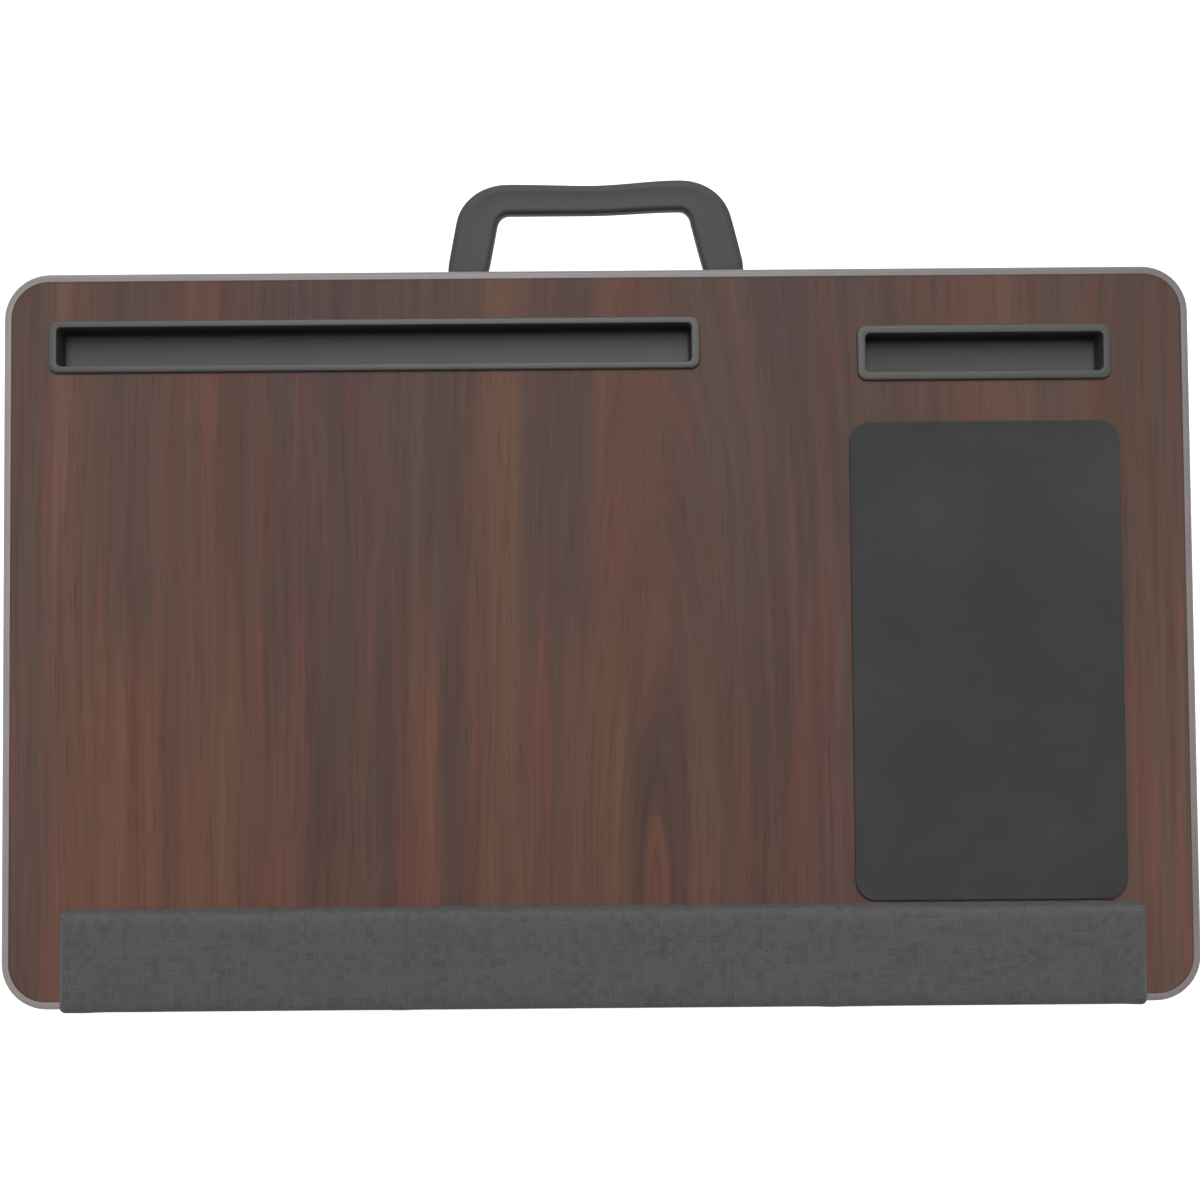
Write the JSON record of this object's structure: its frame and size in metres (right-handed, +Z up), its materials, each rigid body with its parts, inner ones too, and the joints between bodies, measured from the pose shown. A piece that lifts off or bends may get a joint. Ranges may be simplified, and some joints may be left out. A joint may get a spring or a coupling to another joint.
{
  "type": "lap desk",
  "caption": "Wide lap desk: wood-grain board with tablet and phone slots, mouse pad, padded wrist rest, folding rear carry handle and a bead-filled cushion underneath.",
  "frame": {"origin": "on the surface that the cushion rests on, under the middle of the whole object, handle included", "axes": "+X along the board from the tablet slot's side to the mouse pad's side, +Y from the wrist rest to the carry handle, +Z up out of the board's wood-grain face"},
  "size_m": [0.6, 0.421, 0.0909],
  "materials": {
    "core_board": "matte",
    "wood_laminate": "satin",
    "backing_laminate": "matte",
    "edge_band": "satin",
    "tray_plastic": "matte",
    "pad_sheet": "matte",
    "pad_rubber": "matte",
    "wrist_fabric": "matte",
    "foam": "matte",
    "black_plastic": "matte",
    "screw_steel": "satin",
    "grip_rubber": "matte",
    "pin_steel": "satin",
    "hook_loop": "matte",
    "panel_board": "matte",
    "piping": "matte",
    "cushion_fabric": "matte",
    "beads": "matte",
    "zip_tape": "matte",
    "zip_teeth": "satin",
    "zip_metal": "satin"
  },
  "bodies": {
    "desk": {"board_core": "core_board", "top_laminate": "wood_laminate", "under_laminate": "backing_laminate", "edge_band": "edge_band", "tablet_tray": "tray_plastic", "phone_tray": "tray_plastic", "mouse_pad_sheet": "pad_sheet", "mouse_pad_base": "pad_rubber", "wrist_rest_cover": "wrist_fabric", "wrist_rest_foam": "foam", "wrist_rest_base": "black_plastic", "wrist_rest_screws": "screw_steel", "handle_bracket_left": "black_plastic", "handle_bracket_right": "black_plastic", "handle_pin_left": "pin_steel", "handle_pin_right": "pin_steel", "bracket_screws": "screw_steel", "hook_strips": "hook_loop", "loop_strips": "hook_loop", "cushion_panel": "panel_board", "cushion_piping": "piping", "cushion_cover": "cushion_fabric", "bead_fill": "beads", "zip_tape": "zip_tape", "zip_teeth": "zip_teeth", "zip_stops": "zip_metal"},
    "handle": {"handle_grip": "grip_rubber", "handle_spine": "black_plastic"},
    "zip_slider": {"zip_slider": "zip_metal"},
    "zip_pull": {"zip_pull": "zip_metal"}
  },
  "joints": [
    {"name": "handle_hinge", "type": "hinge", "parent": "desk", "child": "handle", "pos_m": [0, 0.1535, 0.0554], "axis": [-1, 0, 0], "range_deg": [0, 90]},
    {"name": "zip_slide", "type": "slide", "parent": "desk", "child": "zip_slider", "axis": [-1, 0, 0], "range_m": [0, 0.3074]},
    {"name": "pull_swing", "type": "hinge", "parent": "zip_slider", "child": "zip_pull", "pos_m": [0.1537, 0.12741, 0.03933], "axis": [0, 0, -1], "range_deg": [0, 160]}
  ]
}
